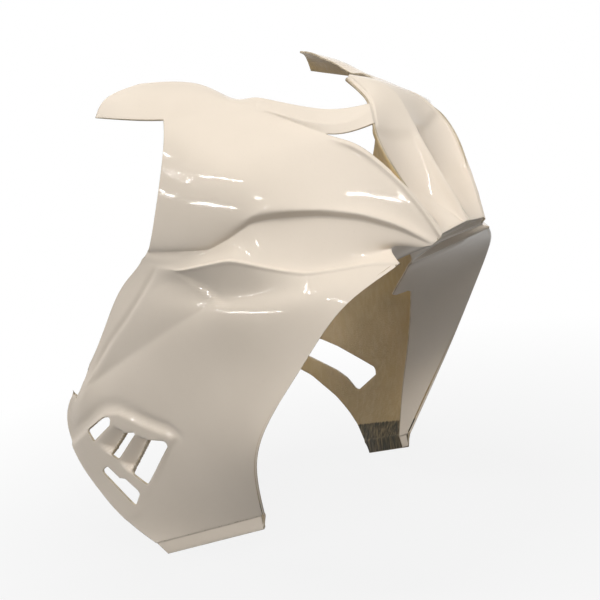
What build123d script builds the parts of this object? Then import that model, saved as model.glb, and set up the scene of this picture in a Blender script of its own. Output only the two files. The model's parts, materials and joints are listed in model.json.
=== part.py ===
from build123d import *
import numpy as np
import os

# Overall sizes: the character lines below are drawn for these and stretch with them
HALF_WIDTH = 237.0
LENGTH = 598.0
HEIGHT = 666.0

# Moulding: wall, and how far one panel runs into the next where they are laid up together
WALL = 3.0
LAP = 4.0

# Lower flange that the belly pan screws to
JOGGLE = 2.4
FLANGE_DROP = 20.0
FLANGE_TAPER = 12.0

# Vent ramps on the right side
GILL_RISE = 6.0

DRAWN = (237.0, 598.0, 666.0)
DROP = 22.0


def row(*points):
    """Character line of the right half: out from the centre plane, forward, up."""
    out, fwd, up = np.array(points, float).T
    x = -out * HALF_WIDTH / DRAWN[0]
    y = -fwd * LENGTH / DRAWN[1]
    z = (up + DROP) * HEIGHT / DRAWN[2]
    return np.stack([x, y, z], axis=1)


def stretch(ends, count):
    """Straight character line with even stations."""
    return np.linspace(ends[0], ends[1], count)


def slopes(knots, rows):
    """Slope at each knot of the natural cubic spline through rows of points."""
    gap = np.diff(knots)[:, None, None]
    rise = np.diff(rows, axis=0) / gap
    pull = np.zeros_like(rows)
    pull[1:-1] = 6 * np.diff(rise, axis=0)
    count = len(knots)
    system = np.eye(count)
    for i in range(1, count - 1):
        system[i, i - 1:i + 2] = gap[i - 1, 0, 0], 2 * (gap[i - 1] + gap[i])[0, 0], gap[i, 0, 0]
    bend = np.linalg.solve(system, pull.reshape(count, -1)).reshape(rows.shape)
    first = rise - gap * (2 * bend[:-1] + bend[1:]) / 6
    last = rise[-1] + gap[-1] * (2 * bend[-1] + bend[-2]) / 6
    return np.concatenate([first, last[None]])


def handles(knots, rows):
    """Control points of the spline pieces: each point, then a third of a step along its slope."""
    slope = slopes(knots, rows)
    third = np.diff(knots)[:, None, None] / 3
    pieces = np.stack([rows[:-1], rows[:-1] + third * slope[:-1], rows[1:] - third * slope[1:]], axis=1)
    return np.concatenate([pieces.reshape(-1, *rows.shape[1:]), rows[-1:]])


def patch(control):
    """Face of one control net."""
    return Face.make_bezier_surface([[Vector(*p) for p in line] for line in control])


class Panel:
    """Moulded panel: a skin through character lines, the skin one wall behind, rims between."""

    def __init__(self, lines, outward):
        self.net = np.array(lines, float)
        apart = np.linalg.norm(np.diff(self.net, axis=0), axis=2).mean(axis=1)
        self.across = np.concatenate([[0.0], np.cumsum(np.sqrt(apart))])
        self.along = np.arange(self.net.shape[1], dtype=float)
        self.normal = self.square(outward)
        front = self.control(self.net)
        back = self.control(self.net - WALL * self.normal)
        faces = self.skin(front) + self.skin(back)
        for a, b in ((front, back), (front.swapaxes(0, 1), back.swapaxes(0, 1))):
            for edge in (0, -1):
                faces += self.skin(np.stack([a[edge], b[edge]]), 1)
        self.solid = Solid(Shell(faces))

    def square(self, outward):
        """Outer normals of the net; each corner takes its two neighbours' mean."""
        run = slopes(self.along, self.net.swapaxes(0, 1)).swapaxes(0, 1)
        n = np.cross(run, slopes(self.across, self.net))
        n /= np.linalg.norm(n, axis=2, keepdims=True)
        n *= np.sign(n @ np.array(outward))[:, :, None]
        for i, beside in ((0, 1), (-1, -2)):
            for j, next_to in ((0, 1), (-1, -2)):
                n[i, j] = n[beside, j] + n[i, next_to]
                n[i, j] /= np.linalg.norm(n[i, j])
        return n

    def control(self, net):
        """Control net of the skin through a net of points."""
        run = handles(self.along, net.swapaxes(0, 1)).swapaxes(0, 1)
        return handles(self.across, run)

    def skin(self, control, step=3):
        """Bicubic faces, one for each cell of the net; a rim steps straight across."""
        rows, stations = control.shape[:2]
        return [
            patch(control[i:i + step + 1, j:j + 4])
            for i in range(0, rows - 1, step)
            for j in range(0, stations - 1, 3)
        ]

    def on(self, line, station):
        """Point of a character line and the normal there, at a station or between two."""
        k = min(int(station), self.net.shape[1] - 2)
        t = station - k
        control = handles(self.along, self.net.swapaxes(0, 1))[3 * k:3 * k + 4, line]
        weight = np.array([(1 - t) ** 3, 3 * t * (1 - t) ** 2, 3 * t * t * (1 - t), t ** 3])
        return weight @ control, self.normal[line, k] * (1 - t) + self.normal[line, k + 1] * t

    def sunk(self, edge, back, depth=LAP):
        """Point in the middle of the wall, a lap in from the edge."""
        point, normal = self.on(*edge)
        run = self.on(*back)[0] - point
        return point + run * depth / np.linalg.norm(run) - normal * WALL / 2


OUT = (-1, -0.35, 0.2)
FRONT = (-0.3, -1, 0.35)
UP = (-0.45, -0.2, 1)
ARCH = (0.6, -1, -0.3)

FLANGE = row((211, -165, -4), (170, 22, 48))

# Side panel from the flange up: belly, crease, air channel, shoulder, top edge
side = Panel([
    stretch(FLANGE, 6),
    row((218, -243, 52), (218, -185, 70), (217, -125, 88), (215, -65, 104), (211, -5, 116), (204, 55, 123)),
    row((222, -299, 168), (225, -220, 184), (225, -140, 194), (224, -60, 199), (221, 20, 199), (215, 96, 194)),
    row((224, -220, 266), (231, -138, 276), (232, -65, 284), (228, 10, 288), (216, 88, 284), (194, 157, 274)),
    row((226, -134, 365), (234, -55, 362), (234, 10, 356), (225, 80, 351), (203, 150, 347), (166, 213, 343)),
    row((228, -87, 402), (232, 2, 391), (224, 78, 381), (204, 136, 377), (170, 194, 372), (126, 246, 372)),
    row((231, -70, 416), (236, 10, 407), (230, 92, 418), (199, 144, 397), (147, 207, 388), (100, 262, 384)),
    row((228, -58, 425), (226.5, 18, 421), (216.5, 92, 434), (181, 147, 431), (126, 213, 420), (67, 272, 389)),
    row((228.5, -49, 433), (225, 26, 433), (212, 91, 446), (177, 152, 460.5), (119, 223, 445), (56, 282, 396)),
    row((232, -9, 505), (227, 70, 508), (208, 126, 501), (160, 180, 481), (104, 236, 456), (52, 286, 401)),
    row((216, 2, 567), (196, 72, 560), (166, 130, 548), (130, 180, 530), (87, 243, 480), (49, 289, 405)),
    row((200, -8, 597), (158, 54, 594), (128, 113, 581), (110, 183, 551), (77, 247, 499), (46, 292, 410)),
], OUT)

# Nose cowl, screen edge down to chin: outer edge, lamp scoop, centre ridge run past the middle
edge = row((6, 144, 611), (28, 180, 594), (47, 207, 579), (66, 226, 553), (73, 251, 503))
edge = np.concatenate([edge, [side.sunk((11, 4.5), (10, 4.5)), side.sunk((11, 4.97), (10, 4.9))]])
nose = Panel([
    edge,
    row((3, 143, 613), (14, 182, 601), (25, 211, 582), (36, 232, 549), (40, 247, 497), (36, 262, 451), (24, 293, 412)),
    row((-1, 143, 614), (-1, 184, 603), (-1, 215, 584), (-1, 234, 548), (-1, 261, 494), (-1, 284, 452), (-1, 299, 416)),
], FRONT)

# Rail along the top: tail flap, then the bar beside the screen, ending in the nose wall
seat = np.array([nose.sunk((0, i), (1, i)) for i in (2, 3)])
low = [side.sunk((11, u), (10, u), LAP * 0.6) for u in (0.05, 1, 2, 3)]
rail = Panel([
    np.concatenate([row((224, -110, 610)), low, seat[:1] * 0.1 + seat[1:] * 0.9]),
    np.concatenate([
        row((206, -101, 633), (168, -4, 621), (140, 52, 607), (124, 106, 594), (98, 178, 566)),
        seat[:1] * 0.6 + seat[1:] * 0.4,
    ]),
    np.concatenate([
        row((165, -77, 644), (130, -10, 634), (120, 50, 608), (106, 92, 601), (78, 160, 580)),
        seat[:1],
    ]),
], UP)

# Return round the wheel arch, from the front fold to the lip
fold = [side.sunk((i, 5), (i, 4), LAP / 2 if i < 7 else LAP * 1.5) for i in range(9)]
fold[0] = fold[0] * 0.96 + fold[1] * 0.04
fold += [nose.sunk((i, 6), (i, 5)) for i in (1, 2)]
arch = Panel([
    fold,
    row(
        (158, 8, 46), (168, 18, 112), (162, 40, 168), (138, 76, 235), (105, 112, 292), (75, 142, 332),
        (56, 158, 345), (42, 170, 355), (22, 183, 367), (10, 190, 374), (-1, 193, 377),
    ),
], ARCH)

# Lower flange: joggled in behind the side panel's bottom edge, with tapered ends
run = FLANGE[1] - FLANGE[0]
span = np.linalg.norm(run)
forward = Vector(*(run / span))
inward = Vector(0, 0, 1).cross(forward).normalized()
foot = Vector(*FLANGE[0])
section = Polygon(
    (0.4, 3.0), (0.4, -0.2), (JOGGLE, -JOGGLE), (JOGGLE, -FLANGE_DROP),
    (JOGGLE + WALL, -FLANGE_DROP), (JOGGLE + WALL, -0.2), (WALL / 2, 3.0), align=None,
)
outline = Polygon(
    (1, -6), (1, 0), (FLANGE_TAPER, FLANGE_DROP + 1), (span - FLANGE_TAPER, FLANGE_DROP + 1),
    (span - 1, 0), (span - 1, -6), align=None,
)
flange = extrude(Plane(foot, x_dir=inward, z_dir=forward) * section, span)
flange &= extrude(Plane(foot, x_dir=forward, z_dir=inward) * outline, 4 * WALL, both=True)

half = side.solid + rail.solid + nose.solid + arch.solid + flange.solid()
half = split(half, Plane.YZ, keep=Keep.BOTTOM)


def cutter(sign, radius, *corners):
    """Through cut in one side, drawn in side view as forward and up, with rounded corners."""
    side_view = row(*[(0, *corner) for corner in corners])[:, 1:]
    shape = Polygon(*[tuple(p) for p in side_view], align=None)
    shape = fillet(shape.vertices(), radius) if radius else shape
    return extrude(Plane.YZ.offset(sign * HALF_WIDTH * 0.6) * shape, HALF_WIDTH / 2, dir=(sign, 0, 0))


def gill(start, end, width, rise):
    """Ramp beside a vent slot: crest along the upper edge, falling to the skin at the slot."""
    a, b = row(start, end)
    ahead = Vector(*(b - a)).normalized()
    outside = Vector(-1, 0, 0)
    ramp = Polygon((0, -WALL / 2), (0, rise - 2), (1, rise), (width, 0.2), (width, -WALL / 2), align=None)
    place = Plane(Vector(*a), x_dir=ahead.cross(outside), z_dir=-ahead)
    return extrude(place * ramp, np.linalg.norm(b - a), dir=ahead)


# Right side: gilled vent
VENTS = [
    (2.5, (-246, 167), (-203, 190), (-187, 192), (-193, 179), (-238, 150)),
    (2.0, (-165, 170), (-152, 171), (-203, 127), (-208, 133)),
    (5.0, (-121, 163), (-83, 165), (-151, 91), (-177, 107)),
    (4.0, (-224, 112), (-205, 95), (-193, 95), (-169, 76), (-187, 52), (-240, 102)),
]
right = half + gill((222, -235, 148), (223, -190, 177), 18, GILL_RISE)
right += gill((221, -204, 122), (222.5, -158, 161), 24, GILL_RISE)
for vent in VENTS:
    right -= cutter(-1, *vent)

# Left side: long slot, and the lower rear corner trimmed back
left = mirror(half, Plane.YZ)
left -= cutter(1, 6.0, (-208, 146), (-180, 169), (-158, 175), (-128, 169), (-80, 143), (-66, 130), (-111, 96))
left -= cutter(1, 0, (-97, -40), (-97, -25), (-108, 45), (-169, 97), (-224, 121), (-330, 160), (-330, -40))

shell = right + left
box = shell.bounding_box()
shell = Pos(0, -box.center().Y, -box.min.Z) * shell
shell = shell.solid()
shell.label = "fairing_shell"

os.makedirs("parts", exist_ok=True)
export_step(shell, "parts/fairing_shell.step")
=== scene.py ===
"""Looks of a one-piece moulded motorcycle fairing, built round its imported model."""
import json
import logging
from dataclasses import dataclass
from enum import Enum

import bpy
import numpy as np
from mathutils import Matrix, Vector

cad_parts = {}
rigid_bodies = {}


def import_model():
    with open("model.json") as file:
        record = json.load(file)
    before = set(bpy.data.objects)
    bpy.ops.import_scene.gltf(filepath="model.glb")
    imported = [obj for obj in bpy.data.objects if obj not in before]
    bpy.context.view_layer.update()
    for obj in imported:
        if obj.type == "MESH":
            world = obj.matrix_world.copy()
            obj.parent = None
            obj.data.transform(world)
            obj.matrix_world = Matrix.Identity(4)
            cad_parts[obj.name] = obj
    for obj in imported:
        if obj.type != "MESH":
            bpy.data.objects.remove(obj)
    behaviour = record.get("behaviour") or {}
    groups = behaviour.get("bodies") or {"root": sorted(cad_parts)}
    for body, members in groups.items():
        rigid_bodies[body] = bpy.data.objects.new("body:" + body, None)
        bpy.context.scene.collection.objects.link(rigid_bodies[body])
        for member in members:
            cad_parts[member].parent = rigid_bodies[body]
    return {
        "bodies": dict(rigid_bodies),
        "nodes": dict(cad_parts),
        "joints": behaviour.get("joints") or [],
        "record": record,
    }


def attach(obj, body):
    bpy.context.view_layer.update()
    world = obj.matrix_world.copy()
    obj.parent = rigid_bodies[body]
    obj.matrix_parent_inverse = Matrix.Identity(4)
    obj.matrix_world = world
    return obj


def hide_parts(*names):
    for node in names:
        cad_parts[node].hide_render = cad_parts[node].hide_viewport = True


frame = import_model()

log = logging.getLogger("fairing")

NODE = "fairing_shell"
MM = 0.001
TINY = 1e-9
WELD = 0.05  # millimetres within which points are made one
ON_CENTRE = 0.01  # millimetres within which a point counts as on the centre plane
LAST_STATION = 5  # stations along a character line run from 0 at the rear to this at the front
LINES_FORWARD, LINES_UP = 0.192, 20.2925  # zero of the character lines in the model's frame, millimetres
UPWARD = (0.0, 0.0, 1.0)
WHITE = (1.0, 1.0, 1.0, 1.0)
Point = tuple[float, float, float]
Line = tuple[Point, ...]
Corners = tuple[tuple[float, float], ...]
Span = tuple[float, float, float, float]
Array = np.ndarray
Socket = bpy.types.NodeSocket
Sockets = dict[str, Socket]


class Slot(Enum):
    """Material slots of the shell."""

    OUTER = 0
    INNER = 1
    EDGE = 2


def spline(knots: Array, rows: Array, where: Array) -> Array:
    """Natural cubic spline: cubic pieces whose first and second slopes agree at each knot.

    Args:
        knots: rising parameter of each row.
        rows: values at the knots, along the first axis.
        where: parameters to evaluate.

    Returns:
        Values at the parameters, along the first axis.
    """
    count, gap = len(knots), np.diff(knots)
    wide = (-1,) + (1,) * (rows.ndim - 1)
    slope = np.diff(rows, axis=0) / gap.reshape(wide)
    system = np.eye(count)
    mid = np.arange(1, count - 1)
    system[mid, mid - 1] = gap[:-1]
    system[mid, mid] = 2 * (gap[:-1] + gap[1:])
    system[mid, mid + 1] = gap[1:]
    pull = np.zeros_like(rows)
    pull[1:-1] = 6 * np.diff(slope, axis=0)
    bend = np.linalg.solve(system, pull.reshape(count, -1)).reshape(rows.shape)
    k = np.clip(np.searchsorted(knots, where, side="right") - 1, 0, count - 2)
    step = gap[k].reshape(wide)
    a = (knots[k + 1] - where).reshape(wide) / step
    b = 1 - a
    cubic = (a**3 - a) * bend[k] + (b**3 - b) * bend[k + 1]
    return a * rows[k] + b * rows[k + 1] + cubic * step**2 / 6


def trace(points: Line | Array, stations: Array) -> Array:
    """Character line: the natural spline through its points, one station apart."""
    rows = np.asarray(points, float)
    return spline(np.arange(len(rows), dtype=float), rows, stations)


def along(points: Line | Array, stations: Array) -> Array:
    """Character line over all stations, however many points it has."""
    return trace(points, stations * (len(points) - 1) / LAST_STATION)


def kinked(points: Line, stations: Array, reach: float = 0.1, share: float = 0.7) -> Array:
    """Character line of nearly straight runs: its open polygon, averaged over a reach, mixed with its spline.

    Args:
        points: the line's points, evenly spread over all stations.
        stations: parameters to evaluate.
        reach: stations averaged to either side.
        share: the polygon's share of the mix.

    Returns:
        Points at the stations.
    """
    rows = np.asarray(points, float)
    knots = np.linspace(0, LAST_STATION, len(rows))
    near = np.clip(stations[:, None] + np.linspace(-reach, reach, 9), 0, LAST_STATION)
    runs = np.stack([np.interp(near, knots, column).mean(axis=1) for column in rows.T], axis=1)
    return share * runs + (1 - share) * along(points, stations)


def drape(lines: Array, where: Array) -> Array:
    """Skin across sampled lines: a natural spline in each column, knots by root of mean distance.

    Args:
        lines: lines x columns x 3.
        where: places across, counted in lines.

    Returns:
        Grid of len(where) x columns x 3.
    """
    apart = np.linalg.norm(np.diff(lines, axis=0), axis=2).mean(axis=1)
    knots = np.concatenate([[0.0], np.cumsum(np.sqrt(apart))])
    return spline(knots, lines, np.interp(where, np.arange(len(lines)), knots))


def steps(breaks: tuple[float, ...], counts: tuple[int, ...]) -> Array:
    """Rising parameters with a given number of even steps between each two breaks."""
    runs = [np.linspace(a, b, n, endpoint=False) for a, b, n in zip(breaks, breaks[1:], counts)]
    return np.concatenate(runs + [np.array(breaks[-1:])])


def smooth(low: float, high: float, value: Array) -> Array:
    """Smooth step from 0 at low to 1 at high."""
    t = np.clip((value - low) / (high - low), 0, 1)
    return t * t * (3 - 2 * t)


def bump(centre: float, width: float, value: Array) -> Array:
    """Bell of height 1 round a centre."""
    return np.exp(-(((value - centre) / width) ** 2))


def unit(vectors: Array) -> Array:
    """Vectors along the last axis, at length 1."""
    return vectors / np.maximum(np.linalg.norm(vectors, axis=-1, keepdims=True), TINY)


def grid_normals(grid: Array) -> Array:
    """Unit normals of a grid, from its differences along both axes, on the outward side."""
    return unit(np.cross(np.gradient(grid, axis=1), np.gradient(grid, axis=0)))


def across_length(grid: Array) -> Array:
    """Length along each column of a grid, from its first row."""
    lengths = np.linalg.norm(np.diff(grid, axis=0), axis=2)
    return np.concatenate([np.zeros((1, grid.shape[1])), np.cumsum(lengths, axis=0)])


def run_distance(points: Array, a: Array, b: Array) -> Array:
    """Distance to a straight run: to the nearest place between its two ends.

    Args:
        points: array ending in (forward, up).
        a: one end.
        b: the other end.

    Returns:
        Distance of each point.
    """
    edge, rel = b - a, points - a
    t = np.clip(rel @ edge / (edge @ edge), 0, 1)
    return np.linalg.norm(rel - t[..., None] * edge, axis=-1)


def outline_distance(points: Array, corners: Corners, radius: float = 0.0) -> Array:
    """Signed distance to a rounded polygon, negative inside: the polygon drawn in by the radius, less it.

    Args:
        points: array ending in (forward, up).
        corners: the polygon's corners, in order.
        radius: radius of its corners.

    Returns:
        Distance of each point.
    """
    c = np.array(corners, float)
    turn = np.sign(np.sum(c[:, 0] * np.roll(c[:, 1], -1) - np.roll(c[:, 0], -1) * c[:, 1]))
    ahead = unit(np.roll(c, -1, axis=0) - c)
    inside = turn * np.stack([-ahead[:, 1], ahead[:, 0]], axis=1)
    before = np.roll(inside, 1, axis=0)
    c = c + radius * (inside + before) / (1 + np.sum(inside * before, axis=1, keepdims=True))
    best = np.full(points.shape[:-1], np.inf)
    crossed = np.zeros(points.shape[:-1], int)
    for a, b in zip(c, np.roll(c, -1, axis=0)):
        edge, rel = b - a, points - a
        best = np.minimum(best, run_distance(points, a, b))
        spans = (a[1] > points[..., 1]) != (b[1] > points[..., 1])
        crossed += spans & (rel[..., 0] < edge[0] * rel[..., 1] / (edge[1] if edge[1] else TINY))
    return np.where(crossed % 2 == 1, -best, best) - radius


def path_distance(points: Array, path: Corners) -> Array:
    """Signed distance to an open path: to the nearest of its straight runs, positive on its left.

    Args:
        points: array ending in (forward, up).
        path: the path's corners, in order.

    Returns:
        Distance of each point.
    """
    best = np.full(points.shape[:-1], np.inf)
    side = np.ones(points.shape[:-1])
    for a, b in zip(np.array(path[:-1], float), np.array(path[1:], float)):
        edge, rel = b - a, points - a
        away = run_distance(points, a, b)
        turn = edge[0] * rel[..., 1] - edge[1] * rel[..., 0]
        side = np.where(away < best, np.where(turn >= 0, 1.0, -1.0), side)
        best = np.minimum(best, away)
    return side * best


@dataclass(frozen=True)
class Lines:
    """Character lines of a half, rear to front, in millimetres out, forward and up."""

    side: tuple[Line, ...] = (
        ((211, -165, -4), (170, 22, 48)),
        ((218, -243, 52), (218, -185, 70), (217, -125, 88), (215, -65, 104), (211, -5, 116), (204, 55, 123)),
        ((222, -299, 168), (225, -220, 184), (225, -140, 194), (224, -60, 199), (221, 20, 199), (215, 96, 194)),
        ((224, -220, 266), (231, -138, 276), (232, -65, 284), (228, 10, 288), (216, 88, 284), (194, 157, 274)),
        ((226, -134, 365), (234, -55, 362), (234, 10, 356), (225, 80, 351), (203, 150, 347), (166, 213, 343)),
        ((228, -87, 402), (231, 2, 391), (222, 78, 381), (202, 136, 377), (170, 194, 372), (126, 246, 372)),
        ((228.8, -70, 416), (230.4, -32, 408.5), (234.8, 9, 406.5), (234.4, 52, 412.5), (229.5, 95, 418.5),
         (217, 121, 410.5), (198, 144.5, 399.5), (176, 172.5, 389.5), (147, 206, 388.5), (121, 236, 389),
         (100, 262, 384)),
        ((229.2, -66, 420), (230, -27, 413), (232, 13, 411.5), (231.5, 56, 418), (225, 98, 424), (211.5, 123, 417),
         (190, 147, 406), (167, 175, 397), (136, 209, 398.5), (110, 230, 399.5), (88, 242, 400)),
        ((229.6, -58, 425), (229.6, -19, 421.5), (229.5, 18, 421), (227, 57, 424.5), (219, 93, 434), (206, 121, 438),
         (182, 147.5, 432), (156, 180, 426), (127, 215, 421), (98, 243, 411), (72, 262, 398)),
        ((230, -51, 431), (229, -12, 430.7), (228, 25, 431.3), (223.5, 58, 431.8), (214.5, 91, 445),
         (203.5, 122, 461), (177, 152, 460.5), (148, 187, 456), (119.7, 223.6, 445), (87, 256, 423.5),
         (56, 282, 396)),
        ((233.5, -42, 438), (233, -4, 438), (232.5, 31, 439), (228, 63, 440), (219.5, 95, 453), (208.5, 127, 468.5),
         (183.5, 157, 468), (153, 192, 463), (124, 228, 452), (90, 260, 429), (55, 283, 397.5)),
        ((232, -9, 505), (227, 70, 508), (208, 126, 501), (160, 180, 481), (104, 236, 456), (52, 286, 401)),
        ((216, 1, 567), (196, 72, 560), (166, 130, 548), (130, 180, 530), (87, 243, 480), (49, 289, 405)),
        ((200, -8, 597), (158, 54, 594), (128, 113, 581), (110, 183, 551), (77, 247, 499), (46, 292, 410)),
    )
    tail_tip: Point = (224, -110, 610)
    rail_mid: Line = (
        (206, -101, 633), (168, -4, 621), (140, 52, 607), (126, 110, 588), (105, 184, 564), (54, 216, 571),
    )
    rail_top: Line = (
        (165, -77, 644), (148, -44, 641.5), (130, -10, 634), (125, 22, 620.5), (119.5, 49, 607.3), (113, 71, 606.5),
        (106, 92, 601.5), (93, 125, 590), (78, 160, 580), (62, 186, 577.5), (47, 207, 579),
    )
    nose_edge: Line = ((6, 144, 611), (28, 180, 594), (47, 207, 579), (66, 226, 553), (73, 251, 503))
    nose_scoop: Line = (
        (3, 143, 613), (14, 182, 601), (25, 211, 582), (36, 226, 546), (39, 240, 493), (35, 257, 448), (24, 293, 412),
    )
    nose_ridge: Line = (
        (0, 143, 614), (0, 184, 603), (0, 215, 584), (0, 234, 548), (0, 261, 494), (0, 284, 452), (0, 298.7, 416),
    )
    lip: Line = (
        (158, 8, 46), (168, 18, 112), (162, 40, 168), (138, 76, 235), (105, 112, 292), (75, 142, 332),
        (56, 158, 345), (50, 163, 349), (42, 170, 355), (22, 183, 367), (10, 190, 374), (0, 193, 377),
    )


@dataclass(frozen=True)
class Opening:
    """Rounded opening or trimmed corner, drawn in side view as forward and up."""

    corners: Corners
    radius: float = 0.0

    def distance(self, flat: Array) -> Array:
        """Signed distance of points in side view to the outline, negative inside."""
        return outline_distance(flat, self.corners, self.radius)


@dataclass(frozen=True)
class Blade:
    """Sloped blade of the vent: level at its crest, sunk where it meets the slit ahead of it."""

    crest: Corners
    slit: Corners
    depth: float = 11.0
    lip: float = 3.5
    curve: float = 0.8

    def height(self, flat: Array) -> Array:
        """Height of the blade: its depth times a rounded share of the way from crest to slit, below the frame.

        Args:
            flat: array ending in (forward, up).

        Returns:
            Height in millimetres, nought outside the blade.
        """
        inside = smooth(0.0, -self.lip, outline_distance(flat, self.crest + self.slit[::-1]))
        (a, b), (c, d) = (np.array(ends, float) for ends in (self.crest, self.slit))
        far = [np.abs((flat - p) @ (unit(q - p)[::-1] * (-1, 1))) for p, q in ((a, b), (c, d))]
        share = smooth(0, 1, far[0] / np.maximum(far[0] + far[1], TINY))
        return -self.depth * inside * share**self.curve


@dataclass
class Skin:
    """Welded surface, in millimetres out to the right, forward and up."""

    points: Array
    quads: Array

    @classmethod
    def weld(cls, sheets: list[Array]) -> "Skin":
        """Joins grids where their points meet.

        Args:
            sheets: grids with the outward side given by columns turned onto rows.

        Returns:
            The welded skin.
        """
        quads, offset = [], 0
        for sheet in sheets:
            index = offset + np.arange(sheet.shape[0] * sheet.shape[1]).reshape(sheet.shape[:2])
            cells = [index[:-1, :-1], index[:-1, 1:], index[1:, 1:], index[1:, :-1]]
            quads.append(np.stack(cells, axis=-1).reshape(-1, 4))
            offset += index.size
        points = np.concatenate([sheet.reshape(-1, 3) for sheet in sheets])
        return cls(points, np.concatenate(quads)).merged()

    def merged(self) -> "Skin":
        """Makes points one that round to the same multiple of the welding size.

        Returns:
            The merged skin.
        """
        key = np.round(self.points / WELD).astype(np.int64)
        _, first, place = np.unique(key, axis=0, return_index=True, return_inverse=True)
        return Skin(self.points[first], place.reshape(-1)[self.quads])

    def joined(self, other: "Skin") -> "Skin":
        """The skin with another half, turned over to the other side of the centre plane."""
        points = np.concatenate([self.points, other.points * (-1, 1, 1)])
        return Skin(points, np.concatenate([self.quads, other.quads[:, ::-1] + len(self.points)])).merged()

    def face_normals(self) -> Array:
        """Normals of the quads, as long as twice their area."""
        p = self.points[self.quads]
        return np.cross(p[:, 2] - p[:, 0], p[:, 3] - p[:, 1])

    def normals(self) -> Array:
        """Unit normals of the points: the sum of the normals round them, level across the centre line.

        Returns:
            One normal for each point.
        """
        total = np.zeros_like(self.points)
        np.add.at(total, self.quads.reshape(-1), np.repeat(self.face_normals(), 4, axis=0))
        total[np.abs(self.points[:, 0]) < ON_CENTRE, 0] = 0
        return unit(total)

    def cut(self, opening: Opening, nudge: float = 0.01, least_facing: float = 0.3) -> None:
        """Takes out the quads whose middle lies in an opening, and draws the rim onto its outline.

        Args:
            opening: the outline, in side view.
            nudge: step for the slope of the distance.
            least_facing: how squarely the skin faces sideways where the rim still follows it.
        """
        flat = self.points[:, 1:]
        gone = opening.distance(flat[self.quads].mean(axis=1)) < 0
        count = np.zeros((2, len(self.points)), int)
        np.add.at(count[0], self.quads[gone].reshape(-1), 1)
        np.add.at(count[1], self.quads[~gone].reshape(-1), 1)
        rim = (count[0] > 0) & (count[1] > 0)
        normal = self.normals()[rim]
        here = opening.distance(flat[rim])
        ahead = [opening.distance(flat[rim] + step) - here for step in nudge * np.eye(2)]
        move = -here[:, None] * unit(np.stack(ahead, axis=-1))
        facing = np.where(np.abs(normal[:, 0]) < least_facing, 1, normal[:, 0])
        self.points[rim, 0] -= np.sum(normal[:, 1:] * move, axis=1) / facing
        self.points[rim, 1:] += move
        self.quads = self.quads[~gone]

    def emboss(self, centre: Point, radius: float, depth: float, width: float) -> None:
        """Sinks a fine ring: a bell across the distance from its centre, along the normals."""
        away = np.linalg.norm(self.points - centre, axis=1)
        self.points -= self.normals() * (depth * bump(radius, width, away))[:, None]

    def rim(self) -> Array:
        """Free edges: the sides that belong to one quad only, without those on the centre line.

        Returns:
            Directed pairs of points.
        """
        ends = np.stack([self.quads, np.roll(self.quads, -1, axis=1)], axis=-1).reshape(-1, 2)
        key = np.sort(ends, axis=1)
        _, place, count = np.unique(key, axis=0, return_inverse=True, return_counts=True)
        free = ends[count[place.reshape(-1)] == 1]
        return free[~np.all(np.abs(self.points[free, 0]) < ON_CENTRE, axis=1)]

    def inward(self, wall: float, steepest: float = 0.62) -> Array:
        """Steps to the inner face: the wall over how squarely the faces round a point meet its normal.

        Args:
            wall: thickness.
            steepest: least squareness counted, which limits the step at sharp folds.

        Returns:
            One step for each point.
        """
        normal, face = self.normals(), unit(self.face_normals())
        lean, tally = np.zeros((2, len(self.points)))
        corners = self.quads.reshape(-1)
        np.add.at(lean, corners, np.sum(normal[self.quads] * face[:, None], axis=2).reshape(-1))
        np.add.at(tally, corners, 1)
        return -normal * (wall / np.clip(lean / np.maximum(tally, 1), steepest, 1))[:, None]

    def thicken(self, wall: float, radius: float) -> tuple[Array, Array, Array]:
        """Gives the skin its wall, with a rounded rim: quarter arcs from both faces to the edge's flat.

        Args:
            wall: thickness, laid inwards.
            radius: radius of the rim's two corners.

        Returns:
            Points, quads and material slot of each quad.
        """
        normal, inward, rim = self.normals(), self.inward(wall), self.rim()
        heading = np.zeros_like(self.points)
        np.add.at(heading, rim, unit(self.points[rim[:, 1]] - self.points[rim[:, 0]])[:, None])
        ids = np.unique(rim)
        beyond = np.cross(unit(heading[ids]), normal[ids])
        beyond[np.abs(self.points[ids, 0]) < ON_CENTRE, 0] = 0
        edge, n, depth = self.points[ids], normal[ids], inward[ids]
        outer, inner = self.points.copy(), self.points + inward
        outer[ids] -= radius * beyond
        inner[ids] -= radius * beyond
        arc = np.radians([45, 90])[:, None, None]
        lift, reach = radius * (1 - np.cos(arc)), radius * (1 - np.sin(arc))
        first = edge - reach * beyond - lift * n
        last = (edge + depth) - reach * beyond + lift * n
        size = len(self.points)
        rings = np.concatenate([first, last[::-1]]).reshape(-1, 3)
        row = np.full(size, -1)
        row[ids] = np.arange(len(ids))
        layer = [2 * size + k * len(ids) + row for k in range(4)]
        layer = [np.arange(size)] + layer + [size + np.arange(size)]
        a, b = rim[:, 0], rim[:, 1]
        band = [np.stack([low[b], low[a], high[a], high[b]], axis=1) for low, high in zip(layer, layer[1:])]
        quads = [self.quads, self.quads[:, ::-1] + size] + band
        slots = [Slot.OUTER, Slot.INNER] + [Slot.EDGE] * len(band)
        slot = np.concatenate([np.full(len(q), s.value) for q, s in zip(quads, slots)])
        return np.concatenate([outer, inner, rings]), np.concatenate(quads), slot


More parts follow.
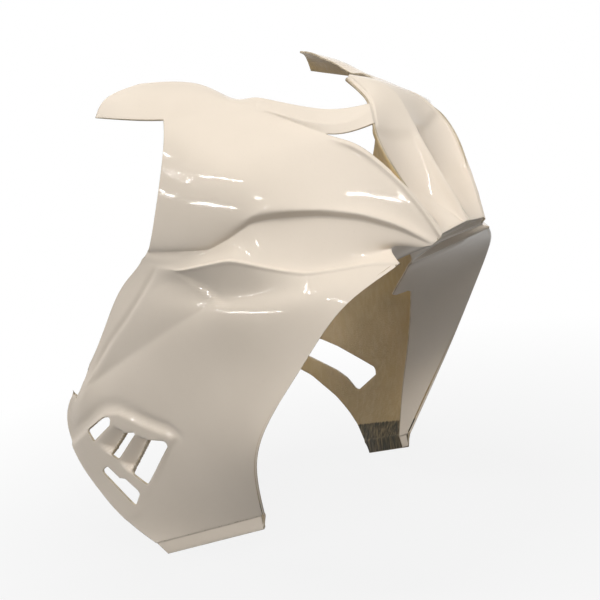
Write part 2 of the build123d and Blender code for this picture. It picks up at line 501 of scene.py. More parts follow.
@dataclass
class ShellHalf:
    """One half of the moulded shell: side panel, top rail, nose, wheel-arch return and lower flange.

    Sizes are in millimetres, places along the lines in stations, and places across them in lines.
    """

    openings: tuple[Opening, ...]
    blades: tuple[Blade, ...] = ()
    vent_crease: Corners = ()
    lines: Lines = Lines()
    joggle: float = 1.4
    joggle_profile: Corners = ((14, 1), (8, 1), (4, 1), (2.6, 1), (1.6, 0.97), (0.6, 0.75), (0, 0))
    flange_drop: float = 20.0
    flange_taper: float = 12.0
    tab_middle: float = 0.4
    tab_foot: float = 0.5
    tab_lean: Point = (0.1, 0.1, 1.0)
    bead_height: float = 3.0
    duct_bulge: float = 5.0
    duct_end: float = 4.35
    creases: tuple[int, int] = (6, 9)
    crease_start: tuple[float, float] = (0.65, 0.95)
    crease_bead: float = 1.5
    pocket_edge: Corners = ((-4.8, 400), (46.7, 368.9))
    pocket_depth: float = 3.2
    fold_path: Corners = ((-225, 237), (-181, 259), (-95, 298), (-25, 330), (29, 353), (45, 365))
    fold_depth: float = 6.0
    fold_reach: float = 80.0
    groove_path: Corners = ((-31, 417), (-49, 398), (-79, 368), (-116, 336), (-161, 302), (-198, 268), (-212, 250))
    groove_depth: float = 1.8
    belly_bulge: float = 4.0
    belly_height: float = 215.0
    vent_counts: tuple[int, int] = (46, 60)
    vent_top: int = 10
    frame_height: float = 3.4
    valley_depth: float = 2.2
    seat_depth: float = 1.3
    lamp_depth: float = 3.5
    chin: Corners = ((0, 4.7), (0.8, 4.77), (1.4, 5.14), (1.55, 5.51), (1.7, 5.92), (2.0, 6.3))
    bead_start: float = 4.4
    nose_end: float = 6.0
    rail_rows: int = 15
    tail_columns: int = 23
    bar_columns: int = 21
    rail_shared: float = 3.0
    rail_end: tuple[float, float] = (2.0, 2.92)
    rail_fold: tuple[float, float] = (3.0, 3.8)
    fold_share: float = 0.85
    mark: Point = (119, 95, 597)
    mark_radius: float = 11.0
    mark_depth: float = 1.0
    mark_width: float = 1.6
    lip_shoulder: float = 9.4
    lip_spike: Corners = ((4.06, 0), (4.2, 0.25), (4.5, 0.18), (4.72, 0.13), (5, 0.08), (5.5, 0.045), (6.2, 0))
    return_steps: tuple[float, ...] = (0, 0.012, 0.03, 0.08, 0.2, 0.36, 0.52, 0.68, 0.84, 0.94, 1.0)

    def columns(self) -> Array:
        """Stations of the side panel: close over the vent and at the front fold."""
        breaks = (0.0, 0.04, 2.2, 3.4, 4.0, self.duct_end, 4.95, 5.0)
        return steps(breaks, (2, self.vent_counts[1], 26, 10, 6, 10, 3))

    def rows(self) -> Array:
        """Places across the side panel, counted in lines."""
        breaks = (0.0, 0.05, 0.6, 2.1, 3.0, 4.0, 5.0, 6.0, 7.0, 8.0, 9.0, 10.0, 11.0, 12.0, 12.7, 13.0)
        return steps(breaks, (2, 8, self.vent_counts[0], 12, 14, 12, 14, 6, 6, 8, 5, 10, 8, 6, 6))

    def nose_columns(self) -> Array:
        """Stations of the nose, screen edge to chin; the last run matches the side panel's bead.

        Returns:
            Rising stations.
        """
        u = self.columns()
        bead = u[u >= self.duct_end]
        free = steps((0.0,) + self.rail_end + (self.bead_start,), (22, 14, 20))[:-1]
        return np.concatenate([free, np.interp(bead, bead[[0, -1]], (self.bead_start, self.nose_end))])

    def side_panel(self) -> tuple[Array, Array]:
        """Side panel: skin across its lines, blended near the top into the rail's curve.

        Returns:
            The panel's grid, and the rail's grid over the columns they share.
        """
        u, v = self.columns(), self.rows()
        lines = np.stack([
            (kinked if len(points) > LAST_STATION + 1 else along)(points, u) for points in self.lines.side
        ])
        lines[-1, :, 2] += self.duct_bulge * bump(3.5, 0.35, u)
        crease, step = self.creases
        parts = [(0, crease), (crease, step), (step, len(lines) - 1)]
        kept = [(v >= a) & ((v < b) | (b == v[-1])) for a, b in parts]
        grid = np.concatenate([drape(lines[a:b + 1], v[k] - a) for (a, b), k in zip(parts, kept)])
        soft = drape(lines, v)
        sharp = smooth(*self.crease_start, u)[None, :, None]
        grid = grid * sharp + soft * (1 - sharp)
        shared = u <= self.rail_shared
        more = [along(points, u[shared] + 1) for points in (self.lines.rail_mid, self.lines.rail_top)]
        tall = np.concatenate([lines[step:, shared], np.stack(more)])
        across = np.linspace(0, 2, self.rail_rows)
        upper = v[kept[2]]
        whole = drape(tall, np.concatenate([upper, upper[-1] + across[1:]]) - step)
        share = (smooth(0, 0.6, u[shared]) * smooth(self.rail_shared, 2.2, u[shared]))[None, :, None]
        top = grid[-len(upper):, shared]
        grid[-len(upper):, shared] = top * (1 - share) + whole[:len(upper)] * share
        rail = drape(tall[-3:], across) * (1 - share) + whole[len(upper) - 1:] * share
        return grid, self.fold_rail(rail, tall[-3:], u[shared] + 1)

    def fold_rail(self, rail: Array, lines: Array, stations: Array) -> Array:
        """Folds the rail along its middle line towards the nose: straight across from line to line.

        Args:
            rail: the rail's smooth grid.
            lines: its three lines at the same columns.
            stations: the columns' stations.

        Returns:
            The folded grid.
        """
        place = np.linspace(0, 2, len(rail))
        low, mid, top = (np.clip(1 - np.abs(place - k), 0, 1)[:, None, None] for k in range(3))
        flat = low * lines[0] + mid * lines[1] + top * lines[2]
        share = self.fold_share * smooth(*self.rail_fold, stations)[None, :, None]
        return rail * (1 - share) + flat * share

    def dress_panel(self, grid: Array) -> Array:
        """Gives the panel its relief along the normals: bead, crease, pocket, folds, belly and any vent.

        Args:
            grid: the side panel's grid.

        Returns:
            The dressed grid; its top row stays where it was.
        """
        u = self.columns()[None]
        length = across_length(grid)
        down = length[-1:] - length
        height = self.bead_height * bump(5.0, 3.0, down) * smooth(3.0, 3.4, u) * smooth(0, 2.0, down)
        flat = grid[..., 1:]
        crease = length - length[np.argmin(np.abs(self.rows() - self.creases[0]))]
        height = height + self.crease_bead * bump(0.4, 2.4, crease) * smooth(0.8, 1.1, u)
        height = height + self.pocket(flat, -crease) + self.rear_folds(flat)
        height = height + self.belly(flat[..., 1], u)
        if self.vent_crease:
            height = height + self.vent(flat)
        return grid + grid_normals(grid) * height[..., None]

    def belly(self, up: Array, u: Array) -> Array:
        """Swelling of the belly: a bell across its height, faded at both ends of the panel."""
        return self.belly_bulge * bump(self.belly_height, 75, up) * smooth(5, 4, u) * smooth(0.05, 0.5, u)

    def vent(self, flat: Array) -> Array:
        """Vent: a frame raised inside its crease, highest at the top, a valley above it, and the sunk blades.

        Args:
            flat: the panel's grid as (forward, up).

        Returns:
            Height of the relief.
        """
        depth = -outline_distance(flat, self.vent_crease)
        crown = 0.25 + 0.75 * smooth(100, 25, -path_distance(flat, self.vent_crease[:self.vent_top]))
        valley = self.valley_depth * bump(-7, 6, depth) * smooth(150, 190, flat[..., 1])
        frame = self.frame_height * smooth(0, 8, depth) * crown
        return frame - valley + sum(blade.height(flat) for blade in self.blades)

    def pocket(self, flat: Array, below: Array) -> Array:
        """Pocket under the crease: sinks evenly from the crease to a crisp slanted edge, and fades forward.

        Args:
            flat: the panel's grid as (forward, up).
            below: length down each column from the crease.

        Returns:
            Height of the relief, negative where it is sunk.
        """
        tip, corner = np.array(self.pocket_edge, float)
        ahead = unit(corner - tip)
        off = (flat - tip) @ (ahead[::-1] * (-1, 1))
        forward = (flat - tip) @ ahead
        below = np.clip(below, 0, None)
        sunk = below / np.maximum(below + np.clip(off, 0, None), TINY)
        fade = smooth(-4, 8, forward) * smooth(105, 62, forward)
        return -self.pocket_depth * sunk * smooth(-1, 9, off) * fade

    def rear_folds(self, flat: Array) -> Array:
        """Fold behind the pocket: deepest along a slanted line, level again at the groove beside the rear strip.

        Args:
            flat: the panel's grid as (forward, up).

        Returns:
            Height of the relief.
        """
        above = path_distance(flat, self.fold_path)
        strip = path_distance(flat, self.groove_path)
        upper, lower = np.clip(above, 0, None), np.clip(-above, 0, None)
        wide = np.maximum(upper + np.clip(strip, 0, None), TINY)
        fold = (1 - upper / wide) * np.clip(1 - lower / self.fold_reach, 0, 1) ** 2
        ends = smooth(418, 385, flat[..., 1]) * smooth(75, 20, flat[..., 0]) * smooth(-235, -190, flat[..., 0])
        return -(self.fold_depth * fold + self.groove_depth * bump(-1, 4, strip)) * ends

    def nose(self, panel: Array) -> Array:
        """Nose: skin across outer edge, scoop and ridge, sunk at the lamp's recess and the screen's seat.

        Args:
            panel: the side panel's grid, whose top edge it follows below the duct.

        Returns:
            The nose's grid.
        """
        t, u = self.nose_columns(), self.columns()
        bead = panel[-1, u >= self.duct_end]
        knots = np.array([0, 1, 2, 3, 4, self.bead_start, (self.bead_start + self.nose_end) / 2, self.nose_end])
        edge = spline(knots, np.concatenate([self.lines.nose_edge, bead[[0, len(bead) // 2, -1]]]), t)
        edge[-len(bead):] = bead
        lines = np.stack([edge, trace(self.lines.nose_scoop, t), trace(self.lines.nose_ridge, t)])
        across = steps((0.0, 0.5, 1.0, 2.0), (12, 8, 16))
        grid = drape(lines, across)
        a, t = across[:, None], t[None]
        chin = np.interp(a, *zip(*self.chin))
        lamp = smooth(2.9, 3.25, t - 0.11 * a) * smooth(0.06, -0.14, t - chin) * smooth(2.0, 1.72, a)
        lamp = lamp * np.where(t > 4.2, smooth(0.0, 0.25, a), 1)
        seat = smooth(7.0, 5.2, across_length(grid)) * smooth(3.1, 2.9, t) * smooth(2.0, 1.6, a)
        height = -self.lamp_depth * lamp - self.seat_depth * seat
        height[0] = 0
        return grid + grid_normals(grid) * height[..., None]

    def top_rail(self, shared: Array, nose: Array) -> Array:
        """Top rail: tail flap behind the side panel, the shared stretch, then the bar to the nose.

        Args:
            shared: grid over the columns that the side panel shares.
            nose: the nose's grid, on whose outer edge the bar ends.

        Returns:
            The rail's grid.
        """
        across = np.linspace(0, 2, shared.shape[0])
        t = self.nose_columns()
        inside = (t >= self.rail_end[0] - TINY) & (t <= self.rail_end[1] + TINY)
        end = nose[0, inside][::-1]
        u = self.columns()
        marks = [shared[0, np.argmin(np.abs(u[u <= self.rail_shared] - k))] for k in range(4)]
        low = np.stack([np.array(self.lines.tail_tip, float)] + marks + [end[0]])
        mid = np.concatenate([self.lines.rail_mid[:5], end[[len(end) * 2 // 5]]])
        top = np.concatenate([self.lines.rail_top[:-1], end[[-1]]])
        tail_at, bar_at = np.linspace(0, 1, self.tail_columns), np.linspace(4, LAST_STATION, self.bar_columns)
        tail, bar = (np.stack([along(line, at) for line in (low, mid, top)]) for at in (tail_at, bar_at))
        tail, bar = drape(tail, across), self.fold_rail(drape(bar, across), bar, bar_at)
        tail += (shared[:, :1] - tail[:, -1:]) * smooth(0.4, 1, tail_at)[None, :, None]
        bar += (shared[:, -1:] - bar[:, :1]) * smooth(4.6, 4, bar_at)[None, :, None]
        bar += (end[:, None] - bar[:, -1:]) * smooth(4.3, 5, bar_at)[None, :, None]
        return np.concatenate([tail[:, :-1], shared, bar[:, 1:]], axis=1)

    def arch_return(self, panel: Array, nose: Array) -> Array:
        """Return round the wheel arch: straight across from the front fold to the lip.

        Args:
            panel: the side panel's grid.
            nose: the nose's grid.

        Returns:
            The return's grid.
        """
        fold = np.concatenate([panel[:, -1], nose[1:, -1]])
        v, step = self.rows(), self.creases[1]
        place = np.interp(v, (0, step, v[-1]), (0, step, self.lip_shoulder))
        chin = np.linspace(self.lip_shoulder, len(self.lines.lip) - 1, len(nose))[1:]
        lip = trace(self.lines.lip, np.concatenate([place, chin]))
        spike = np.interp(v, *zip(*self.lip_spike))[:, None]
        lip[:len(v)] += (lip[:len(v)] - fold[:len(v)]) * spike
        t = np.array(self.return_steps)[None, :, None]
        return fold[:, None] * (1 - t) + lip[:, None] * t

    def hem(self, edge: Array, middle: Array, narrow: float, inward: Array, down: Array) -> Array:
        """Edge carried down through a joggle: drawn in towards its middle, stepped inwards and dropped.

        Args:
            edge: points of the edge.
            middle: the point that it is drawn in to.
            narrow: how much of its width is gone at the foot.
            inward: direction of the step.
            down: direction of the drop.

        Returns:
            The hem's grid, from its foot up.
        """
        depth, step = np.array([(self.flange_drop, 1.0), *self.joggle_profile]).T[..., None, None]
        narrowed = middle + (edge - middle) * (1 - narrow * depth / self.flange_drop)
        return narrowed + step * self.joggle * inward + depth * down

    def flange(self, panel: Array) -> Array:
        """Lower flange: the hem of the panel's straight bottom edge, tapered at both ends.

        Args:
            panel: the side panel's grid.

        Returns:
            The flange's grid.
        """
        edge = panel[0]
        span = np.linalg.norm(edge[-1] - edge[0])
        ahead = unit(edge[-1] - edge[0])
        inward = unit(np.cross(ahead, UPWARD))
        inward *= -np.sign(inward[0])
        down = np.cross(ahead, inward)
        down *= -np.sign(down[2])
        return self.hem(edge, (edge[0] + edge[-1]) / 2, 2 * self.flange_taper / span, inward, down)

    def tab(self, arch: Array) -> Array:
        """Tab under the return: the hem of its bottom edge, drawn in to a narrow foot.

        Args:
            arch: the return's grid.

        Returns:
            The tab's grid.
        """
        edge = arch[0]
        back = unit(np.cross(edge[-1] - edge[0], UPWARD))
        back *= -np.sign(back[1])
        middle = edge[0] + (edge[-1] - edge[0]) * self.tab_middle
        return self.hem(edge, middle, self.tab_foot, back, -np.array(self.tab_lean))

    def skin(self) -> Skin:
        """Welds the half's sheets and cuts its openings.

        Returns:
            The finished outer skin.
        """
        panel, shared = self.side_panel()
        nose = self.nose(panel)
        arch = self.arch_return(panel, nose)
        rail, flange = self.top_rail(shared, nose), self.flange(panel)
        skin = Skin.weld([self.dress_panel(panel), rail, nose, arch, flange, self.tab(arch)])
        for opening in self.openings:
            skin.cut(opening)
        skin.emboss(self.mark, self.mark_radius, self.mark_depth, self.mark_width)
        return skin


@dataclass
class Shell:
    """The one-piece moulding: both halves joined on the centre plane and given their wall."""

    right: ShellHalf
    left: ShellHalf
    name: str = "shell"
    wall: float = 3.0
    edge_radius: float = 0.8

    def build(self, materials: list[bpy.types.Material]) -> bpy.types.Object:
        """Makes the shell's mesh object in the model's frame.

        Args:
            materials: one for each slot, in order.

        Returns:
            The shell, riding on the body and standing for the CAD node.
        """
        skin = self.right.skin().joined(self.left.skin())
        points, quads, slot = skin.thicken(self.wall, self.edge_radius)
        out, fwd, up = points.T
        place = np.stack([-out, -fwd - LINES_FORWARD, up + LINES_UP], axis=1) * MM
        mesh = bpy.data.meshes.new(self.name)
        mesh.from_pydata(place.tolist(), [], quads.tolist())
        mesh.polygons.foreach_set("material_index", slot.astype(np.int32))
        for material in materials:
            mesh.materials.append(material)
        mesh.shade_smooth()
        mesh.update()
        obj = bpy.data.objects.new(self.name, mesh)
        bpy.context.scene.collection.objects.link(obj)
        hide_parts(NODE)
        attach(obj, "root")
        log.info("%s: %d quads", self.name, len(quads))
        return obj


VENT = (
    Opening(((-246, 167), (-203, 190), (-187, 192), (-193, 179), (-238, 150)), 2.5),
    Opening(((-168, 169), (-139, 173), (-195, 125), (-208, 133)), 2.0),
    Opening(((-121, 163), (-74, 165), (-149, 90), (-177, 107)), 6.0),
    Opening(((-224, 112), (-205, 95), (-193, 95), (-169, 76), (-187, 52), (-240, 102)), 5.0),
)
NOTCH = Opening((
    (-300, 262), (-221, 262), (-245, 232), (-263, 212), (-267, 222), (-283, 206), (-292, 190), (-340, 190),
))
BLADES = (
    Blade(((-232, 147), (-186, 180)), ((-208, 133), (-165, 170))),
    Blade(((-199, 123), (-147, 169)), ((-177, 107), (-121, 163))),
)
VENT_CREASE = (
    (-310, 137), (-254, 168), (-216, 193), (-198, 201), (-169, 205), (-150, 200), (-126, 192), (-101, 185),
    (-77, 180), (-64, 170), (-138, 82), (-156, 68), (-178, 38), (-230, 15), (-340, 15),
)
SLOT_HOLE = Opening((
    (-225, 150), (-205, 176), (-179, 174), (-145, 164), (-96, 144), (-71, 134), (-66, 124), (-106, 95),
    (-114, 98), (-130, 113), (-151, 124), (-206, 143),
), 3.5)
TRIM = Opening((
    (-80, -40), (-82, 1), (-86, 11), (-97, 24), (-110, 40), (-130, 58), (-157, 80), (-183, 96), (-208, 112),
    (-234, 122), (-330, 160), (-330, -40),
))
PLAIN_COUNTS = (20, 34)  # rows and columns where the vent would be


@dataclass(frozen=True)
class Nodes:
    """Short hand for building a node tree."""

    tree: bpy.types.NodeTree

    def add(self, kind: str, inputs: dict[str | int, object] | None = None, **settings: object) -> bpy.types.Node:
        """Adds a node.

        Args:
            kind: node type without its ShaderNode prefix.
            inputs: sockets or values by input name or index.
            settings: properties of the node.

        Returns:
            The node.
        """
        node = self.tree.nodes.new("ShaderNode" + kind)
        for name, value in settings.items():
            setattr(node, name, value)
        return self.fill(node, inputs or {})

    def fill(self, node: bpy.types.Node, inputs: dict[str | int, object]) -> bpy.types.Node:
        """Joins sockets to a node's inputs, or sets their values.

        Args:
            node: the node.
            inputs: sockets or values by input name or index.

        Returns:
            The node.
        """
        for name, value in inputs.items():
            if isinstance(value, Socket):
                self.tree.links.new(value, node.inputs[name])
            else:
                node.inputs[name].default_value = value
        return node

    def noise(self, vector: Socket, scale: object, detail: float = 2.0) -> Socket:
        """Noise value at a scale."""
        return self.add("TexNoise", {"Vector": vector, "Scale": scale, "Detail": detail}).outputs["Fac"]

    def span(self, value: Socket, *ends: float) -> Socket:
        """Maps a value from its first two ends onto the other two, clamped."""
        names = ("From Min", "From Max", "To Min", "To Max")
        return self.add("MapRange", {"Value": value, **dict(zip(names, ends))}).outputs["Result"]

    def maths(self, kind: str, first: object, second: object) -> Socket:
        """Maths of two values."""
        return self.add("Math", {0: first, 1: second}, operation=kind).outputs[0]

    def blend(self, share: object, first: object, second: object) -> Socket:
        """Colour between two colours."""
        colours = {k: (*c, 1) if isinstance(c, tuple) else c for k, c in ((6, first), (7, second))}
        return self.add("Mix", {0: share, **colours}, data_type="RGBA").outputs[2]

    def show(self, share: Socket, first: bpy.types.Node, second: bpy.types.Node, output: str) -> None:
        """Joins the mix of two shaders to the tree's output."""
        mix = self.add("MixShader", {0: share, 1: first.outputs[0], 2: second.outputs[0]})
        self.fill(self.tree.nodes[output], {"Surface": mix.outputs[0]})

    def seen(self) -> Socket:
        """Value that is 1 for camera, glossy and transmission rays.

        Returns:
            The value's socket.
        """
        path = self.add("LightPath").outputs
        camera, glossy, through = (path["Is %s Ray" % kind] for kind in ("Camera", "Glossy", "Transmission"))
        return self.maths("MAXIMUM", self.maths("MAXIMUM", camera, glossy), through)


def new_group(name: str, inputs: tuple[str, ...], outputs: tuple[str, ...]) -> tuple[Nodes, Sockets, Sockets]:
    """Empty node group with a place and values going in, and values coming out.

    Args:
        name: name of the group.
        inputs: names of its value inputs.
        outputs: names of its value outputs.

    Returns:
        The group's builder, its given sockets and its result sockets.
    """
    group = bpy.data.node_groups.new(name, "ShaderNodeTree")
    group.interface.new_socket("Place", in_out="INPUT", socket_type="NodeSocketVector")
    for way, labels in (("INPUT", inputs), ("OUTPUT", outputs)):
        for label in labels:
            group.interface.new_socket(label, in_out=way, socket_type="NodeSocketFloat")
    given, result = group.nodes.new("NodeGroupInput"), group.nodes.new("NodeGroupOutput")
    return Nodes(group), dict(given.outputs.items()), dict(result.inputs.items())


def mottle_group() -> bpy.types.NodeTree:
    """Group of a moulded surface's unevenness: broad clouds, fine grain and sparse specks of dust.

    Returns:
        The group.
    """
    nodes, given, result = new_group("mottle", ("Broad", "Fine"), ("Cloud", "Grain", "Specks"))
    finer = nodes.maths("MULTIPLY", given["Fine"], 1.7)
    made = {
        "Cloud": nodes.span(nodes.noise(given["Place"], given["Broad"], 4.0), 0.32, 0.68, 0, 1),
        "Grain": nodes.noise(given["Place"], given["Fine"], 2.0),
        "Specks": nodes.span(nodes.noise(given["Place"], finer, 1.0), 0.7, 0.78, 0, 1),
    }
    for name, value in made.items():
        nodes.tree.links.new(value, result[name])
    return nodes.tree


def strand_group() -> bpy.types.NodeTree:
    """Group of short strands lying three ways: the largest of three noises, each drawn out along its own line.

    Returns:
        The group.
    """
    nodes, given, result = new_group("strands", ("Scale", "Draw"), ("Strands",))
    stretch = nodes.add("CombineXYZ", {0: 1.0, 1: 1.0, 2: given["Draw"]}).outputs[0]
    most = None
    for turn in (0.35, 1.4, 2.5):
        place = nodes.add("Mapping", {"Vector": given["Place"], "Rotation": (turn, 0.2, 0.0), "Scale": stretch})
        line = nodes.noise(place.outputs[0], given["Scale"], 1.0)
        most = line if most is None else nodes.maths("MAXIMUM", most, line)
    nodes.tree.links.new(nodes.span(most, 0.52, 0.72, 0, 1), result["Strands"])
    return nodes.tree


@dataclass(frozen=True)
class Finish:
    """Colours and numbers of a moulded surface."""

    name: str
    colour: Point
    shade: Point
    dust: Point
    roughness: tuple[float, float]
    gloss: float
    broad: float = 7.0
    fine: float = 260.0
    relief: float = 0.05

    def make(self, mottle: bpy.types.NodeTree) -> bpy.types.Material:
        """Builds the material from its surface.

        Args:
            mottle: the shared group.

        Returns:
            The material.
        """
        material = bpy.data.materials.new(self.name)
        material.use_nodes = True
        nodes = Nodes(material.node_tree)
        place = nodes.add("TexCoord").outputs["Object"]
        inputs = {"Place": place, "Broad": self.broad, "Fine": self.fine}
        spread = nodes.add("Group", inputs, node_tree=mottle).outputs
        colour, rough, height = self.surface(nodes, place, spread)
        relief = nodes.add("Bump", {"Strength": self.relief, "Distance": MM, "Height": height}).outputs[0]
        joined = {"Base Color": colour, "Roughness": rough, "Normal": relief, "Specular IOR Level": self.gloss}
        nodes.fill(material.node_tree.nodes["Principled BSDF"], joined)
        return material

    def surface(self, nodes: Nodes, place: Socket, spread: Sockets) -> tuple[Socket, Socket, Socket]:
        """Two close tones in clouds, specks of dust, uneven polish and fine grain.

        Args:
            nodes: the material's builder.
            place: the object's coordinates; not used.
            spread: what the mottle gives.

        Returns:
            Colour, roughness and height.
        """
        tone = nodes.blend(spread["Cloud"], self.colour, self.shade)
        specks = nodes.maths("MULTIPLY", spread["Specks"], 0.22)
        rough = nodes.span(spread["Cloud"], 0, 1, *self.roughness)
        rough = nodes.maths("ADD", rough, nodes.maths("MULTIPLY", specks, 0.5))
        return nodes.blend(specks, tone, self.dust), rough, spread["Grain"]


@dataclass(frozen=True)
class Laminate(Finish):
    """Bare resin and glass on the inside, with strands, warm pools of resin and a dark brushed foot."""

    resin: Point = (0.60, 0.42, 0.18)
    foot: Point = (0.045, 0.04, 0.026)
    foot_height: float = 0.0838
    foot_slope: float = 0.219

    def surface(self, nodes: Nodes, place: Socket, spread: Sockets) -> tuple[Socket, Socket, Socket]:
        """Two tones in clouds, pools of resin, pale strands, and the foot brushed dark below a slanted line.

        Args:
            nodes: the material's builder.
            place: the object's coordinates.
            spread: what the mottle gives.

        Returns:
            Colour, roughness and height.
        """
        inputs = {"Place": place, "Scale": 130.0, "Draw": 0.3}
        strands = nodes.add("Group", inputs, node_tree=strand_group()).outputs[0]
        pools = nodes.span(nodes.noise(place, 4.2, 3.0), 0.45, 0.68, 0, 0.85)
        tone = nodes.blend(spread["Cloud"], self.colour, self.shade)
        tone = nodes.blend(pools, tone, self.resin)
        tone = nodes.blend(nodes.maths("MULTIPLY", strands, 0.14), tone, self.dust)
        axes = nodes.add("SeparateXYZ", {0: place}).outputs
        brush = nodes.add("Mapping", {"Vector": place, "Scale": (1.0, 1.0, 0.12)}).outputs[0]
        streak = nodes.noise(brush, 260.0, 2.0)
        level = nodes.maths("ADD", axes["Z"], nodes.maths("MULTIPLY", axes["Y"], self.foot_slope))
        level = nodes.maths("ADD", level, nodes.maths("MULTIPLY", streak, 4 * MM))
        foot = nodes.span(level, self.foot_height + 3 * MM, self.foot_height + MM, 0, 1)
        dark = nodes.blend(nodes.span(streak, 0.4, 0.75, 0, 0.55), self.foot, self.shade)
        rough = nodes.span(spread["Cloud"], 0, 1, *self.roughness)
        return nodes.blend(foot, tone, dark), rough, nodes.maths("ADD", strands, spread["Grain"])


@dataclass(frozen=True)
class Lamp:
    """Soft square lamp that lights the part but isn't mirrored in it."""

    name: str
    place: Point
    side: float
    watts: float


@dataclass(frozen=True)
class Tube:
    """Thin lamp between two points that only the gloss shows."""

    start: Point
    end: Point
    width: float


@dataclass
class Studio:
    """Pale floor, soft lamps, thin lamps for the highlights, and the camera."""

    floor_drop: float = 0.0005
    floor_half: float = 6.0
    floor_tone: Point = (0.18, 0.18, 0.18)
    floor_seen: Span = (0.3, 1.1, 0.87, 1.0)
    room_tone: Point = (1.0, 0.975, 0.95)
    room_light: Span = (-0.1, 0.9, 0.01, 0.06)
    room_seen: Span = (0.35, 0.75, 1.0, 0.3)
    lamp_target: Point = (0.0, 0.0, 0.35)
    lamps: tuple[Lamp, ...] = (
        Lamp("front_high", (-1.2, -2.6, 3.5), 1.0, 53),
        Lamp("front_right", (-2.5, -2.5, 2.7), 1.0, 42),
        Lamp("right", (-3.5, -0.3, 2.5), 1.2, 50),
        Lamp("front", (0.2, -3.2, 3.2), 1.0, 46),
        Lamp("rear", (-0.6, 2.5, 2.6), 1.2, 45),
        Lamp("left", (2.7, 1.0, 2.2), 1.2, 40),
    )
    tube_target: Point = (0.0, 0.0, 0.4)
    tube_glow: float = 150.0
    tubes: tuple[Tube, ...] = (
        Tube((-2.5, 1.79, 1.3), (-2.41, 1.63, 1.75), 0.008),
        Tube((-2.48, 1.37, 1.86), (-2.62, 0.84, 2.07), 0.045),
        Tube((-2.62, 0.84, 2.07), (-2.55, -1.26, 2.06), 0.05),
        Tube((-2.06, 1.73, 0.73), (-2.06, 1.71, 0.78), 0.04),
        Tube((-2.2, 1.5, 0.66), (-2.43, 1.1, 0.59), 0.025),
        Tube((-2.43, 1.1, 0.59), (-2.67, -0.36, 0.08), 0.04),
        Tube((-2.76, -1.7, 0.87), (-2.45, -1.95, 1.12), 0.03),
        Tube((-1.2, -2.45, 1.95), (-1.32, -2.58, 1.25), 0.04),
        Tube((-1.32, -2.58, 1.25), (-1.71, -2.46, 0.59), 0.03),
    )
    camera_place: Point = (-1.440, -1.3099, 0.7398)
    camera_right: Point = (0.6418, -0.7511, -0.1549)
    camera_up: Point = (0.2584, 0.0216, 0.9658)
    camera_back: Point = (-0.7221, -0.6598, 0.2079)
    lens: float = 84.0
    sensor: float = 36.0

    def camera(self) -> None:
        """Camera at the photograph's angle, with its slight roll."""
        data = bpy.data.cameras.new("camera")
        data.lens, data.sensor_width = self.lens, self.sensor
        obj = bpy.data.objects.new("camera", data)
        turn = Matrix((self.camera_right, self.camera_up, self.camera_back)).transposed()
        obj.matrix_world = Matrix.Translation(self.camera_place) @ turn.to_4x4()
        bpy.context.scene.collection.objects.link(obj)
        bpy.context.scene.camera = obj

    def world(self) -> None:
        """World: dim neutral light, and white near the horizon where it is seen."""
        world = bpy.data.worlds.new("room")
        bpy.context.scene.world = world
        world.use_nodes = True
        nodes = Nodes(world.node_tree)
        place = nodes.add("TexCoord").outputs["Generated"]
        rise = nodes.add("SeparateXYZ", {0: place}).outputs["Z"]
        dim = world.node_tree.nodes["Background"]
        nodes.fill(dim, {"Color": (*self.room_tone, 1), "Strength": nodes.span(rise, *self.room_light)})
        white = nodes.add("Background", {"Color": WHITE, "Strength": nodes.span(rise, *self.room_seen)})
        nodes.show(nodes.seen(), dim, white, "World Output")

    def floor(self) -> None:
        """Floor: pale, white to the camera far out, with the part's shadow kept near it."""
        far = self.floor_half
        mesh = bpy.data.meshes.new("floor")
        corners = [(x * far, y * far, -self.floor_drop) for x, y in ((-1, -1), (1, -1), (1, 1), (-1, 1))]
        mesh.from_pydata(corners, [], [(0, 1, 2, 3)])
        material = bpy.data.materials.new("floor")
        material.use_nodes = True
        nodes = Nodes(material.node_tree)
        matt = material.node_tree.nodes["Principled BSDF"]
        nodes.fill(matt, {"Base Color": (*self.floor_tone, 1), "Roughness": 0.9})
        glow = nodes.add("Emission", {"Color": WHITE})
        place = nodes.add("TexCoord").outputs["Object"]
        away = nodes.add("VectorMath", {0: place}, operation="LENGTH").outputs["Value"]
        share = nodes.maths("MULTIPLY", nodes.seen(), nodes.span(away, *self.floor_seen))
        nodes.show(share, matt, glow, "Material Output")
        mesh.materials.append(material)
        obj = bpy.data.objects.new("floor", mesh)
        bpy.context.scene.collection.objects.link(obj)

    def area(
        self, name: str, sides: tuple[float, float], watts: float, place: Vector, turn: Matrix
    ) -> bpy.types.Object:
        """Hangs a rectangular lamp that the camera doesn't see.

        Args:
            name: the lamp's name.
            sides: its two sides.
            watts: its power.
            place: where it hangs.
            turn: its axes, as columns.

        Returns:
            The lamp.
        """
        light = bpy.data.lights.new(name, "AREA")
        light.shape, light.energy = "RECTANGLE", watts
        light.size, light.size_y = sides
        obj = bpy.data.objects.new(name, light)
        obj.matrix_world = Matrix.Translation(place) @ turn.to_4x4()
        obj.visible_camera = False
        bpy.context.scene.collection.objects.link(obj)
        return obj

    def lamp(self, lamp: Lamp) -> None:
        """Hangs a soft lamp facing the part.

        Args:
            lamp: its place, size and power.
        """
        place = Vector(lamp.place)
        turn = (Vector(self.lamp_target) - place).to_track_quat("-Z", "Y").to_matrix()
        self.area(lamp.name, (lamp.side, lamp.side), lamp.watts, place, turn).visible_glossy = False

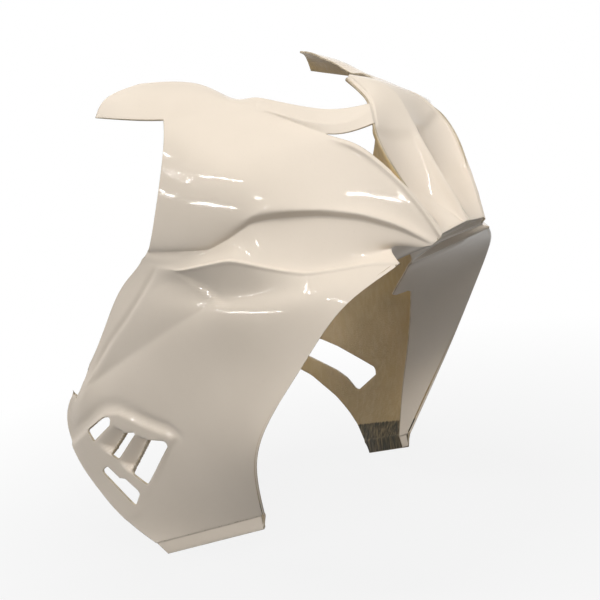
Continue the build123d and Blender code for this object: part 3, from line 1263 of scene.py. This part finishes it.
    def tube(self, name: str, tube: Tube) -> None:
        """Hangs a thin lamp along its line, turned about it to face the part, of the same glow whatever its size.

        Args:
            name: the lamp's name.
            tube: its line and width.
        """
        start, end = Vector(tube.start), Vector(tube.end)
        length, middle, ahead = (end - start).length, (start + end) / 2, (end - start).normalized()
        facing = (middle - Vector(self.tube_target)).normalized()
        facing = (facing - ahead * facing.dot(ahead)).normalized()
        turn = Matrix((ahead, facing.cross(ahead), facing)).transposed()
        watts = self.tube_glow * np.pi * length * tube.width
        self.area(name, (length, tube.width), watts, middle, turn).visible_diffuse = False

    def build(self) -> None:
        """Sets up camera, world, floor and lamps."""
        bpy.context.scene.view_settings.view_transform = "Standard"
        self.camera()
        self.world()
        self.floor()
        for lamp in self.lamps:
            self.lamp(lamp)
        for k, tube in enumerate(self.tubes):
            self.tube("tube_%d" % k, tube)


GELCOAT = Finish(
    "gelcoat", colour=(0.80, 0.705, 0.595), shade=(0.765, 0.672, 0.562), dust=(0.62, 0.55, 0.46),
    roughness=(0.035, 0.07), gloss=0.17,
)
LAMINATE = Laminate(
    "laminate", colour=(0.54, 0.40, 0.225), shade=(0.40, 0.30, 0.165), dust=(0.66, 0.56, 0.38),
    roughness=(0.38, 0.6), gloss=0.25, broad=9.0, fine=420.0, relief=0.35,
)
CUT_EDGE = Finish(
    "edge", colour=(0.56, 0.47, 0.35), shade=(0.40, 0.32, 0.21), dust=(0.66, 0.6, 0.5),
    roughness=(0.4, 0.6), gloss=0.25, broad=60.0, fine=500.0, relief=0.3,
)


def main() -> None:
    """Builds the shell and the studio."""
    logging.basicConfig(level=logging.INFO)
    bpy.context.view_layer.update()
    mottle = mottle_group()
    materials = [finish.make(mottle) for finish in (GELCOAT, LAMINATE, CUT_EDGE)]
    right = ShellHalf(VENT + (NOTCH,), BLADES, VENT_CREASE)
    left = ShellHalf((SLOT_HOLE, TRIM), vent_counts=PLAIN_COUNTS)
    Shell(right, left).build(materials)
    Studio().build()


if __name__ == "__main__":
    main()
